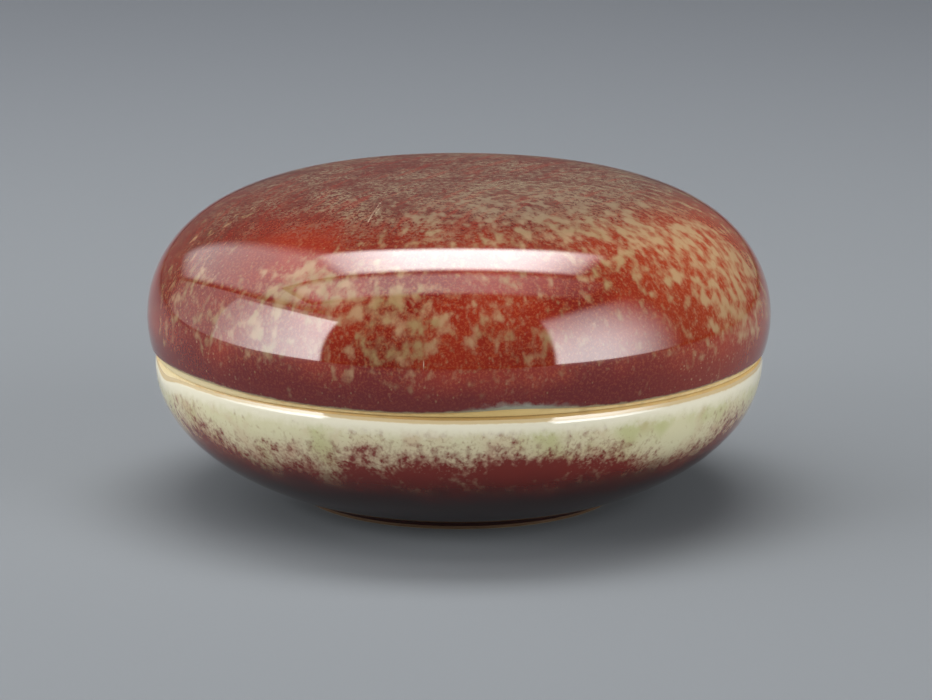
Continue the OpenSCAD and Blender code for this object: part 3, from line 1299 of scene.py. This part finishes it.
class TurnedShape(ShapeTree):
    """Turns a profile's rings about the axis, with a wandering glaze edge."""

    PULL_BACKS = 6
    PULL_BACK_PARTS = ("Hem", "Azimuth", "Half Width", "Depth")
    FINISHES = ("Outer Finish", "Inner Finish", "Bare Finish")
    NO_PULL_BACK = PullBack(-1, 0.0, 30.0, 0.0)
    SEED_STEP = 13.7
    HEM_STEP = 5.3
    WELD = 1e-7

    def __init__(self) -> None:
        """Builds the tree."""
        numbers = ["Wobble", "Wobble Size", "Hem Wander", "Hem Wander Size"]
        for k in range(self.PULL_BACKS):
            numbers += self.pull_back_labels(k)
        super().__init__("Turned shape", {Sockets.WHOLE: ("Segments", "Seed"), Sockets.NUMBER: numbers,
                                          Sockets.MATERIAL: self.FINISHES})
        self._fill()

    def pull_back_labels(self, number: int) -> tuple[str, ...]:
        """Names the inputs of one pull-back: its hem, azimuth, half width and depth."""
        return tuple(f"Pull Back {number + 1} {part}" for part in self.PULL_BACK_PARTS)

    def whole(self, operation: str, first: Any, second: Any) -> Socket:
        """Works out a whole number."""
        return self.add("FunctionNodeIntegerMath", {0: first, 1: second}, operation=operation).outputs[0]

    def sample(self, value: Any, kind: str, ring: Any) -> Socket:
        """Reads one of the profile's values at a ring."""
        feeds = {"Geometry": self.entry["Geometry"], "Value": value, "Index": ring}
        return self.add("GeometryNodeSampleIndex", feeds, data_type=kind, domain="POINT").outputs[0]

    def named(self, label: str, kind: str, ring: Any) -> Socket:
        """Reads one of the profile's named attributes at a ring."""
        return self.sample(self.read(label, kind), kind, ring)

    def _fill(self) -> None:
        """Adds the tree's nodes."""
        size = self.add("GeometryNodeAttributeDomainSize", {"Geometry": self.entry["Geometry"]})
        across = self.whole("ADD", self.entry["Segments"], 1)
        feeds = {"Vertices X": size.outputs["Point Count"], "Vertices Y": across}
        grid = self.add("GeometryNodeMeshGrid", feeds).outputs["Mesh"]
        index = self.add("GeometryNodeInputIndex").outputs[0]
        ring = self.whole("DIVIDE_FLOOR", index, across)
        step = self.whole("FLOORED_MODULO", index, across)
        turn = self.times(self.math("DIVIDE", step, self.entry["Segments"]), math.tau)
        sine, cosine = self.math("SINE", turn), self.math("COSINE", turn)
        place = self.sample(self.add("GeometryNodeInputPosition").outputs[0], "FLOAT_VECTOR", ring)
        share = self.named("hem_share", "FLOAT", ring)
        number = self.named("hem_number", "INT", ring)
        seed = self.times(self.entry["Seed"], self.SEED_STEP)

        where = self.combine(sine, cosine, self.math("MULTIPLY_ADD", number, self.HEM_STEP, seed))
        drift = self.noise(where, self.entry["Hem Wander Size"], 3.0, 0.6)
        offset = self.times(self.centred(drift), self.times(self.entry["Hem Wander"], 2.0))
        for k in range(self.PULL_BACKS):
            at_hem, azimuth, half_width, depth = (self.entry[label] for label in self.pull_back_labels(k))
            gap = self.math("SUBTRACT", self.math("COSINE", self.math("SUBTRACT", turn, azimuth)), 1.0)
            bell = self.math("EXPONENT", self.math("DIVIDE", gap, self.times(half_width, half_width)))
            here = self.math("COMPARE", number, at_hem, 0.5)
            offset = self.math("MULTIPLY_ADD", self.times(bell, here), depth, offset)
        shift = self.scaled(self.named("along", "FLOAT_VECTOR", ring), self.times(offset, share))
        moved = self.vector("ADD", place, shift)
        edge = self.math("MULTIPLY_ADD", offset, self.math("SUBTRACT", share, 1.0),
                          self.named("hem", "FLOAT", ring))

        radius, _, height = self.split(moved)
        spot = self.combine(self.times(radius, sine), self.times(radius, cosine), height)
        sway = self.noise(self.shifted(spot, seed), self.entry["Wobble Size"], 1.0)
        inward = self.math("SUBTRACT", radius, self.times(sway, self.entry["Wobble"]))
        reach = self.math("MAXIMUM", self.math("MINIMUM", inward, radius), 0.0)
        final = self.combine(self.times(reach, sine), self.times(reach, cosine, -1.0), height)

        shape = self.store(grid, "hem", edge)
        face_ring = self.whole("DIVIDE_FLOOR", index, self.entry["Segments"])
        shape = self.store(shape, "zone", self.named("zone", "INT", face_ring), "INT", "FACE")
        shape = self.changed("GeometryNodeSetPosition", shape, Position=final)
        shape = self.changed("GeometryNodeMergeByDistance", shape, Distance=self.WELD)
        shape = self.changed("GeometryNodeSetShadeSmooth", shape)
        shape = self.changed("GeometryNodeRealizeInstances", shape)
        zone = self.read("zone", "INT")
        for kind, label in zip(Zone, self.FINISHES):
            feeds = {2: zone, 3: int(kind)}
            chosen = self.add("FunctionNodeCompare", feeds, data_type="INT", operation="EQUAL").outputs[0]
            shape = self.changed("GeometryNodeSetMaterial", shape, Selection=chosen,
                                 Material=self.entry[label])
        self.add("NodeGroupOutput", {0: shape})

    def turn(self, name: str, profile: Profile, values: dict[str, Any],
             pull_backs: Sequence[PullBack] = ()) -> bpy.types.Object:
        """Turns a profile into a plain mesh object.

        Args:
            name: The piece's name.
            profile: Its rings.
            values: The tree's other inputs, by name. Lengths are in metres.
            pull_backs: Where its glaze stops short.

        Returns:
            The piece.
        """
        given = dict(values)
        for k in range(self.PULL_BACKS):
            back = pull_backs[k] if k < len(pull_backs) else self.NO_PULL_BACK
            numbers = (float(back.hem), math.radians(back.azimuth), math.radians(back.half_width),
                       back.depth * MM)
            given.update(zip(self.pull_back_labels(k), numbers))
        return self.run(added(name, profile.mesh(name)), given)


@dataclass(frozen=True)
class Join:
    """Where the lid meets the bowl."""

    join_d: float = 70.3
    join_h: float = 16.9
    ledge_w: float = 2.0
    seat_gap: float = 0.25
    flange_t: float = 1.7
    flange_h: float = 2.4
    head_gap: float = 0.6
    rim_round: float = 0.3
    flange_round: float = 0.68
    glaze_t: float = 0.15

    @property
    def radius(self) -> float:
        """Radius of both pieces at the join."""
        return self.join_d / 2

    @property
    def rim_r(self) -> float:
        """Radius of the bare rims, inside the glaze's thickness."""
        return self.radius - self.glaze_t

    @property
    def bore_r(self) -> float:
        """Radius of the lid's bore."""
        return self.radius - self.ledge_w

    @property
    def flange_r(self) -> float:
        """Radius outside the flange."""
        return self.bore_r - self.seat_gap

    @property
    def flange_in_r(self) -> float:
        """Radius inside the flange."""
        return self.flange_r - self.flange_t

    @property
    def flange_top(self) -> float:
        """Height of the flange's top."""
        return self.join_h + self.flange_h

    @property
    def bore_top(self) -> float:
        """Height where the lid's inner glaze starts."""
        return self.flange_top + self.head_gap

    def rolled(self, radius: float, past: float, length: float) -> float:
        """Rolls the edge of the glaze in.

        Args:
            radius: The radius of the glazed wall.
            past: How far it is past the start of the roll.
            length: The length of the roll.

        Returns:
            The radius in the roll.
        """
        into = max(0.0, past) / length
        return radius - self.glaze_t * (1 - math.sqrt(max(0.0, 1 - into ** 2)))


@dataclass
class Lid:
    """The domed lid, from its crown to the rim that stands on the ledge."""

    join: Join
    effects: Effects
    shaper: TurnedShape
    lid_h: float = 20.4
    belly_h: float = 4.4
    swell_out: float = 0.85
    crown_t: float = 3.0
    crown_shoulder: float = 3.6
    crown_top: float = 2.0
    bare_h: float = 0.1
    roll_h: float = 0.55
    segments: int = 384
    pull_backs: tuple[PullBack, ...] = (
        PullBack(0, 10.5, 7.5, 0.8),
        PullBack(0, -62.0, 17.0, 0.75),
        PullBack(0, 62.0, 14.0, 0.3),
        PullBack(0, 140.0, 6.0, 0.35),
        PullBack(0, 252.0, 4.0, 0.25),
        PullBack(1, 60.0, 9.0, 0.6),
    )

    @property
    def radius(self) -> float:
        """Radius of the widest ring."""
        return self.join.radius + self.swell_out

    @property
    def belly_z(self) -> float:
        """Height of the widest ring."""
        return self.join.join_h + self.belly_h

    def _under_r(self, drop: float) -> float:
        """Radius at a drop below the widest ring."""
        depth = self.belly_h / math.sqrt(1 - (self.join.radius / self.radius) ** 2)
        return self.radius * math.sqrt(1 - (drop / depth) ** 2)

    def outside(self) -> list[Point]:
        """The outer glaze, from the crown to the rolled edge above the rim."""
        join = self.join
        over = swell(self.radius, self.lid_h - self.belly_h, self.crown_shoulder, self.crown_top,
                     self.belly_z)
        end = self.belly_h - join.rim_round - self.bare_h
        steps = 120
        under = []
        for i in range(1, steps + 1):
            drop = end * i / steps
            rolled = join.rolled(self._under_r(drop), drop - (end - self.roll_h), self.roll_h)
            under.append((rolled, self.belly_z - drop))
        return over[::-1] + under

    def rim(self) -> list[Point]:
        """The bare band, the rounded rim and the bore."""
        join = self.join
        low = join.join_h + join.rim_round
        return ([(join.rim_r, low + self.bare_h)]
                + arc((join.rim_r - join.rim_round, low), join.rim_round, 0, -90)
                + arc((join.bore_r + join.rim_round, low), join.rim_round, -90, -180)
                + [(join.bore_r, join.bore_top)])

    def inside(self) -> list[Point]:
        """The inner glaze, from its edge above the bore to the axis."""
        join = self.join
        start = join.bore_top + join.glaze_t
        rise = join.join_h + self.lid_h - self.crown_t - start
        return swell(join.bore_r - join.glaze_t, rise, self.crown_shoulder, self.crown_top, start)

    def build(self) -> bpy.types.Object:
        """Makes the lid.

        Returns:
            The lid, riding its own body.
        """
        join = self.join
        profile = Profile((
            Run(Zone.OUTER, self.outside(), spacing=0.42),
            Run(Zone.BARE, self.rim(), spacing=0.12, give=0.4),
            Run(Zone.INNER, arc((join.bore_r, join.bore_top + join.glaze_t), join.glaze_t, -90, -180)),
            Run(Zone.INNER, self.inside(), spacing=0.85),
        ))
        values = {
            "Segments": self.segments, "Seed": 3, "Wobble": 0.00006, "Wobble Size": 0.02,
            "Hem Wander": 0.00011, "Hem Wander Size": 0.22,
            "Outer Finish": CopperRedGlaze(self.effects, "copper_red_glaze").material(),
            "Inner Finish": WhiteGlaze(self.effects, "white_glaze_lid").material(),
            # A lighter copy of the bare body for the lid's rim: painted light on a band that faces down
            # into shade.
            "Bare Finish": BarePorcelain(self.effects, "bare_rim_painted_light", body=shade(228, 202, 146),
                                         shaded_ochre=shade(216, 184, 116)).material(),
        }
        lid = self.shaper.turn("lid_shell", profile, values, self.pull_backs)
        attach(lid, "lid")
        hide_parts("lid")
        return lid


@dataclass
class Bowl:
    """The footed bowl, with its flange and the ledge that the lid stands on."""

    join: Join
    effects: Effects
    shaper: TurnedShape
    side: float = 2.2
    under: float = 2.0
    rim_straight: float = 0.2
    floor_t: float = 2.6
    hollow_side: float = 2.8
    hollow_floor: float = 2.3
    foot_d: float = 36.6
    foot_w: float = 2.3
    foot_h: float = 0.8
    foot_recess: float = 1.8
    recess_rise: float = 0.3
    foot_round: float = 0.25
    bare_h: float = 0.3
    lip_bare_h: float = 0.4
    roll_h: float = 0.8
    segments: int = 384
    pull_backs: tuple[PullBack, ...] = (
        PullBack(2, -72.0, 4.2, 0.65),
        PullBack(2, -46.0, 20.0, -0.22),
        PullBack(2, -88.0, 6.0, -0.3),
        PullBack(2, 160.0, 7.0, 0.3),
        PullBack(3, 40.0, 8.0, 0.5),
    )

    @property
    def foot_r(self) -> float:
        """Radius outside the foot ring."""
        return self.foot_d / 2

    @property
    def foot_in_r(self) -> float:
        """Radius inside the foot ring."""
        return self.foot_r - self.foot_w

    @property
    def floor_z(self) -> float:
        """Height of the hollow's floor."""
        return self.foot_recess + self.recess_rise + self.floor_t

    def recess(self) -> list[Point]:
        """The glazed recess under the bowl, from the axis out to its edge in the foot."""
        t, r = self.join.glaze_t, self.foot_round
        bare = self.foot_recess - 2 * r - t
        return ([(0.0, self.foot_recess + self.recess_rise)]
                + arc((self.foot_in_r - t - r, self.foot_recess - r), r, 90, 0)
                + arc((self.foot_in_r, bare + t), t, -180, -90))

    def foot(self) -> list[Point]:
        """The bare foot ring, up to the glaze outside it."""
        r = self.foot_round
        return (arc((self.foot_in_r + r, r), r, -180, -90)
                + arc((self.foot_r - r, r), r, -90, 0)
                + [(self.foot_r, self.foot_h - r - self.join.glaze_t)])

    def outside(self) -> list[Point]:
        """The outer glaze, from the foot up to its rolled edge under the bare band."""
        join, t, r = self.join, self.join.glaze_t, self.foot_round
        start_z = self.foot_h - r
        edge = arc((self.foot_r, start_z), t, -90, 0)
        cove = arc((self.foot_r + t + r, start_z), r, 180, 90)
        lip_z = join.join_h - join.rim_round - self.bare_h
        belly_z = lip_z - t - self.rim_straight
        foot_r = self.foot_r + t + r
        end = math.degrees(math.acos((foot_r / join.radius) ** (self.side / 2)))
        depth = (belly_z - self.foot_h) / math.sin(math.radians(end)) ** (2 / self.under)
        wall = swell(join.radius, -depth, self.side, self.under, belly_z, end)[::-1]
        steps = 40
        wall += [(join.radius, belly_z + (lip_z - belly_z) * i / steps) for i in range(1, steps + 1)]
        lip = [(join.rolled(radius, height - (lip_z - self.roll_h), self.roll_h), height)
               for radius, height in wall]
        return edge + cove + lip

    def seat(self) -> list[Point]:
        """The bare band and ledge, and the flange up to the glaze inside it."""
        join = self.join
        top_round, root = join.flange_round, join.seat_gap
        end = join.flange_top - top_round - self.lip_bare_h
        return (arc((join.rim_r - join.rim_round, join.join_h - join.rim_round), join.rim_round, 0, 90)
                + arc((join.flange_r + root, join.join_h + root), root, -90, -180)
                + arc((join.flange_r - top_round, join.flange_top - top_round), top_round, 0, 90)
                + arc((join.flange_in_r + top_round, join.flange_top - top_round), top_round, 90, 180)
                + [(join.flange_in_r, end)])

    def hollow(self) -> list[Point]:
        """The glazed hollow, from the height of the join down to the floor at the axis."""
        join = self.join
        return swell(join.flange_in_r - join.glaze_t, self.floor_z - join.join_h,
                     self.hollow_side, self.hollow_floor, join.join_h)

    def build(self) -> bpy.types.Object:
        """Makes the bowl.

        Returns:
            The bowl, riding the base.
        """
        join = self.join
        lip = join.flange_top - join.flange_round - self.lip_bare_h - join.glaze_t
        inner_edge = arc((join.flange_in_r, lip), join.glaze_t, 90, 180)
        profile = Profile((
            Run(Zone.INNER, self.recess(), spacing=0.5),
            Run(Zone.BARE, self.foot(), spacing=0.14, give=0.25),
            Run(Zone.OUTER, self.outside(), spacing=0.34),
            Run(Zone.BARE, self.seat(), spacing=0.16, give=0.75),
            Run(Zone.INNER, inner_edge + self.hollow(), spacing=0.8),
        ))
        values = {
            "Segments": self.segments, "Seed": 8, "Wobble": 0.00006, "Wobble Size": 0.02,
            "Hem Wander": 0.00013, "Hem Wander Size": 0.3,
            "Outer Finish": CreamGlaze(self.effects, "cream_glaze").material(),
            "Inner Finish": WhiteGlaze(self.effects, "white_glaze_bowl", stain_low=7.6,
                                       stain_high=11.6).material(),
            "Bare Finish": BarePorcelain(self.effects, "bare_seat", burnt_high=3.0).material(),
        }
        bowl = self.shaper.turn("bowl_shell", profile, values, self.pull_backs)
        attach(bowl, "base")
        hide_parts("base")
        return bowl


@dataclass
class Paste:
    """The kneaded mound of seal paste in the bowl."""

    bowl: Bowl
    effects: Effects
    shaper: TurnedShape
    edge_h: float = 3.8
    rise: float = 3.4
    mound: float = 2.8
    gap: float = 0.1
    fold_depth: float = 1.1
    fold_size: float = 6.5
    fold_shape: tuple[float, float, float] = (1.0, 0.42, 0.6)
    fold_seed: float = 5.0
    fold_spread: float = 5.0
    fold_power: float = 0.6
    fold_margin: tuple[float, float] = (0.99, 0.8)
    fold_upper: float = 0.3
    swirl: float = 70.0
    segments: int = 256

    def underside(self) -> list[Point]:
        """The underside, which lies in the hollow."""
        wall = self.bowl.join.flange_in_r - self.bowl.join.glaze_t
        share = (wall - self.gap) / wall
        edge_z = self.bowl.floor_z + self.edge_h
        return [(radius * share, height) for radius, height in self.bowl.hollow() if height < edge_z]

    def top(self, edge_r: float) -> list[Point]:
        """The mound, from the axis out to the edge."""
        return swell(edge_r, self.rise, self.mound, 2.0, self.bowl.floor_z + self.edge_h)[::-1]

    def knead(self, mound: bpy.types.Object, edge_r: float) -> bpy.types.Object:
        """Presses swirled folds into the mound's top.

        Args:
            mound: The smooth mound.
            edge_r: The radius of its edge, in millimetres.

        Returns:
            The same mound.
        """
        values = {"Depth": self.fold_depth * MM, "Fold Size": self.fold_size * MM, "Swirl": self.swirl,
                  "Edge Radius": edge_r * MM, "Seed": self.fold_seed}
        graph = ShapeTree("Kneaded folds", {Sockets.NUMBER: tuple(values)})
        entry = graph.entry
        place = graph.add("GeometryNodeInputPosition").outputs[0]
        x, y, _ = graph.split(place)
        radius = graph.radius(x, y)
        feeds = {"Vector": place, "Axis": (0.0, 0.0, 1.0), "Angle": graph.times(radius, entry["Swirl"])}
        swirled = graph.add("ShaderNodeVectorRotate", feeds, rotation_type="AXIS_ANGLE").outputs[0]
        drawn = graph.vector("MULTIPLY", swirled, self.fold_shape)
        folds = graph.noise(graph.shifted(drawn, entry["Seed"]), entry["Fold Size"], 3.0, 0.45, 0.5)
        ridge = graph.math("ABSOLUTE", graph.times(graph.centred(folds), self.fold_spread))
        ridge = graph.math("POWER", graph.math("MINIMUM", ridge, 1.0), self.fold_power)
        margin = graph.ramp(graph.math("DIVIDE", radius, entry["Edge Radius"]), *self.fold_margin)
        normal = graph.add("GeometryNodeInputNormal").outputs[0]
        upper = graph.ramp(graph.split(normal)[2], 0.0, self.fold_upper)
        share = graph.times(graph.math("SUBTRACT", 1.0, ridge), margin, upper)
        shape = graph.store(entry["Geometry"], "sunk", share)
        offset = graph.combine(0.0, 0.0, graph.times(share, entry["Depth"], -1.0))
        shape = graph.changed("GeometryNodeSetPosition", shape, Offset=offset)
        shape = graph.changed("GeometryNodeRealizeInstances", shape)
        material = OilyPaste(self.effects, "oily_paste").material()
        shape = graph.changed("GeometryNodeSetMaterial", shape, Material=material)
        graph.add("NodeGroupOutput", {0: shape})
        return graph.run(mound, values)

    def build(self) -> bpy.types.Object:
        """Makes the paste.

        Returns:
            The paste, riding the base.
        """
        underside = self.underside()
        edge_r = underside[0][0]
        profile = Profile((
            Run(Zone.OUTER, self.top(edge_r), spacing=0.32),
            Run(Zone.OUTER, underside, spacing=0.8),
        ))
        values = {"Segments": self.segments, "Seed": 1, "Wobble": 0.0, "Wobble Size": 0.02,
                  "Hem Wander": 0.0, "Hem Wander Size": 0.3}
        paste = self.knead(self.shaper.turn("paste_mound", profile, values), edge_r)
        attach(paste, "base")
        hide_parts("seal_paste")
        return paste


def facing(right: Vector, up: Vector, back: Vector, place: Vector) -> Matrix:
    """Turns a lamp or a camera.

    Args:
        right: The way to its right.
        up: The way up from it.
        back: The way behind it.
        place: Where it stands, in metres.

    Returns:
        Its matrix.
    """
    return Matrix.Translation(place) @ Matrix((right, up, back)).transposed().to_4x4()


@dataclass(frozen=True)
class Panel:
    """A soft lamp: a flat rectangle square to a direction from the box.

    Its edges are in shares of its distance, across towards growing azimuth and up.
    """

    name: str
    azimuth: float
    elevation: float
    distance: float
    left: float
    right: float
    low: float
    high: float
    radiance: float
    fade_left: float = 0.0
    fade_right: float = 0.0
    faded: float = 1.0
    soft_across: float = 0.04
    soft_low: float = 0.04
    soft_high: float = 0.04
    dim_high: float = 1.0

    def build(self, target: Vector) -> bpy.types.Object:
        """Makes the lamp.

        Args:
            target: The place that it is square to, in metres.

        Returns:
            The lamp.
        """
        turn, tilt = math.radians(self.azimuth), math.radians(self.elevation)
        away = Vector((math.sin(turn) * math.cos(tilt), -math.cos(turn) * math.cos(tilt),
                       math.sin(tilt)))
        across = Vector((math.cos(turn), math.sin(turn), 0.0))
        up = away.cross(across)
        width = (self.right - self.left) * self.distance
        height = (self.high - self.low) * self.distance
        lamp = bpy.data.lights.new(self.name, "AREA")
        lamp.shape = "RECTANGLE"
        lamp.size, lamp.size_y = width, height
        lamp.energy = 4 * self.radiance * width * height
        self._fade(lamp)
        made = added(self.name, lamp)
        middle = across * (self.left + self.right) / 2 + up * (self.low + self.high) / 2
        centre = target + (away + middle) * self.distance
        made.matrix_world = facing(across, up, away, centre)
        made.visible_camera = False
        return made

    def _fade(self, lamp: bpy.types.Light) -> None:
        """Lets the lamp fall off towards its edges."""
        graph = Graph(emptied(lamp))
        across, up, _ = graph.split(graph.add("ShaderNodeNewGeometry").outputs["Parametric"])
        share = graph.times(self._edges(graph, across, self.soft_across, self.soft_across),
                            self._edges(graph, up, self.soft_low, self.soft_high),
                            graph.ramp(up, 1.0, 0.1, self.dim_high, 1.0))
        for start, width in ((0.0, self.fade_left), (1.0, self.fade_right)):
            if width:
                side = graph.ramp(across, start, abs(start - width), self.faded, 1.0)
                share = graph.times(share, side)
        light = graph.add("ShaderNodeEmission", {"Strength": share})
        graph.add("ShaderNodeOutputLight", {"Surface": light.outputs[0]})

    @staticmethod
    def _edges(graph: Graph, way: Socket, first: float, last: float) -> Socket:
        """Fades to nothing within a width of the first and the last end of a lamp's side."""
        return graph.times(graph.ramp(way, 0.0, first), graph.ramp(way, 1.0, 1.0 - last))


@dataclass
class Studio:
    """The floor, the lamps and the camera."""

    join: Join
    camera_distance: float = 502.85
    camera_elevation: float = 12.548
    focal_length: float = 167.68
    sensor_width: float = 36.0
    clip_start: float = 0.01
    aim_right: float = 0.81
    aim_up: float = -0.25
    floor_size: float = 12.0
    floor_near: Colour = shade(125, 129, 133)
    floor_far: Colour = shade(120, 124, 130)
    floor_even: float = 0.08
    floor_fallen: float = 0.42
    world_level: float = 0.13
    panels: tuple[Panel, ...] = (
        Panel("strip", 0, 90, 0.55, -0.53, 0.545, 0.0, 0.47, 8.2, fade_left=0.38, fade_right=0.38,
              faded=0.2, soft_across=0.1, soft_low=0.2, soft_high=0.2),
        Panel("overhead", 0, 90, 0.6, -1.02, 0.78, -0.42, 0.03, 1.4, fade_left=0.12, fade_right=0.5,
              faded=0.1, soft_across=0.05, soft_low=0.25, soft_high=0.25),
        Panel("left_ceiling", -60, 90, 0.6, -5.0, 0.2, -1.25, -0.075, 1.1, fade_left=0.55,
              fade_right=0.12, faded=0.0, soft_across=0.02, soft_low=0.2, soft_high=0.2),
        Panel("left_window", -60, 0, 0.62, -0.81, 0.2, -0.025, 0.7, 5.2, fade_left=1.1,
              faded=0.16, soft_across=0.03, soft_low=0.02, soft_high=0.05),
        Panel("left_wall", -60, 0, 0.64, -4.0, 0.2, -0.025, 0.78, 0.62, fade_left=0.8,
              faded=0.1, soft_across=0.02, soft_low=0.02, soft_high=0.05),
        Panel("right_window", 65, 0, 0.62, -0.62, 0.42, -0.025, 1.05, 5.3, fade_right=0.66,
              faded=0.0, soft_across=0.05, soft_low=0.02, soft_high=0.22, dim_high=0.28),
    )

    def build(self) -> None:
        """Sets up the floor, the lamps, the world and the camera."""
        target = Vector((0.0, 0.0, self.join.join_h * MM))
        self._floor()
        for panel in self.panels:
            panel.build(target)
        world = bpy.data.worlds.new("studio")
        graph = Graph(emptied(world))
        grey = (self.world_level,) * 3 + (1.0,)
        back = graph.add("ShaderNodeBackground", {"Color": grey, "Strength": 1.0})
        graph.add("ShaderNodeOutputWorld", {"Surface": back.outputs[0]})
        bpy.context.scene.world = world
        self._camera(target)
        bpy.context.scene.view_settings.view_transform = "Standard"

    def _floor(self) -> None:
        """Lays the pale floor."""
        half = self.floor_size / 2
        mesh = bpy.data.meshes.new("floor")
        corners = [(-half, -half, 0.0), (half, -half, 0.0), (half, half, 0.0), (-half, half, 0.0)]
        mesh.from_pydata(corners, [], [(0, 1, 2, 3)])
        floor = added("floor", mesh)
        paper = bpy.data.materials.new("pale_paper")
        graph = Graph(emptied(paper))
        place = graph.add("ShaderNodeTexCoord").outputs["Object"]
        # The floor's tone falls from near the box to far away, a painted fall-off of the light.
        fall = graph.ramp(graph.length("LENGTH", place), self.floor_even, self.floor_fallen)
        tone = graph.blend(fall, self.floor_near, self.floor_far)
        feeds = {"Base Color": tone, "Roughness": 0.9, "Specular IOR Level": 0.2}
        shader = graph.add("ShaderNodeBsdfPrincipled", feeds)
        graph.add("ShaderNodeOutputMaterial", {"Surface": shader.outputs[0]})
        mesh.materials.append(paper)

    def _camera(self, target: Vector) -> None:
        """Places the camera.

        Args:
            target: The middle of the join, in metres.
        """
        tilt = math.radians(self.camera_elevation)
        ahead = Vector((0.0, math.cos(tilt), -math.sin(tilt)))
        right = Vector((1.0, 0.0, 0.0))
        up = right.cross(ahead)
        aim = target + (right * self.aim_right + up * self.aim_up) * MM
        camera = bpy.data.cameras.new("camera")
        camera.lens = self.focal_length
        camera.sensor_width = self.sensor_width
        camera.clip_start = self.clip_start
        made = added("camera", camera)
        made.matrix_world = facing(right, up, -ahead, aim - ahead * self.camera_distance * MM)
        bpy.context.scene.camera = made


def main() -> None:
    """Builds the pieces and the studio, and keeps the CAD box and the dressed box."""
    logging.basicConfig(level=logging.INFO, format="%(message)s")
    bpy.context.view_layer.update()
    join = Join()
    effects = Effects()
    shaper = TurnedShape()
    bowl = Bowl(join, effects, shaper)
    pieces = [bowl.build(), Paste(bowl, effects, shaper).build(), Lid(join, effects, shaper).build()]
    for piece in pieces:
        piece.data.calc_loop_triangles()
        log.info("%s: %d triangles, %d finishes", piece.name, len(piece.data.loop_triangles),
                 len(piece.data.materials))
    Studio(join).build()


if __name__ == "__main__":
    main()
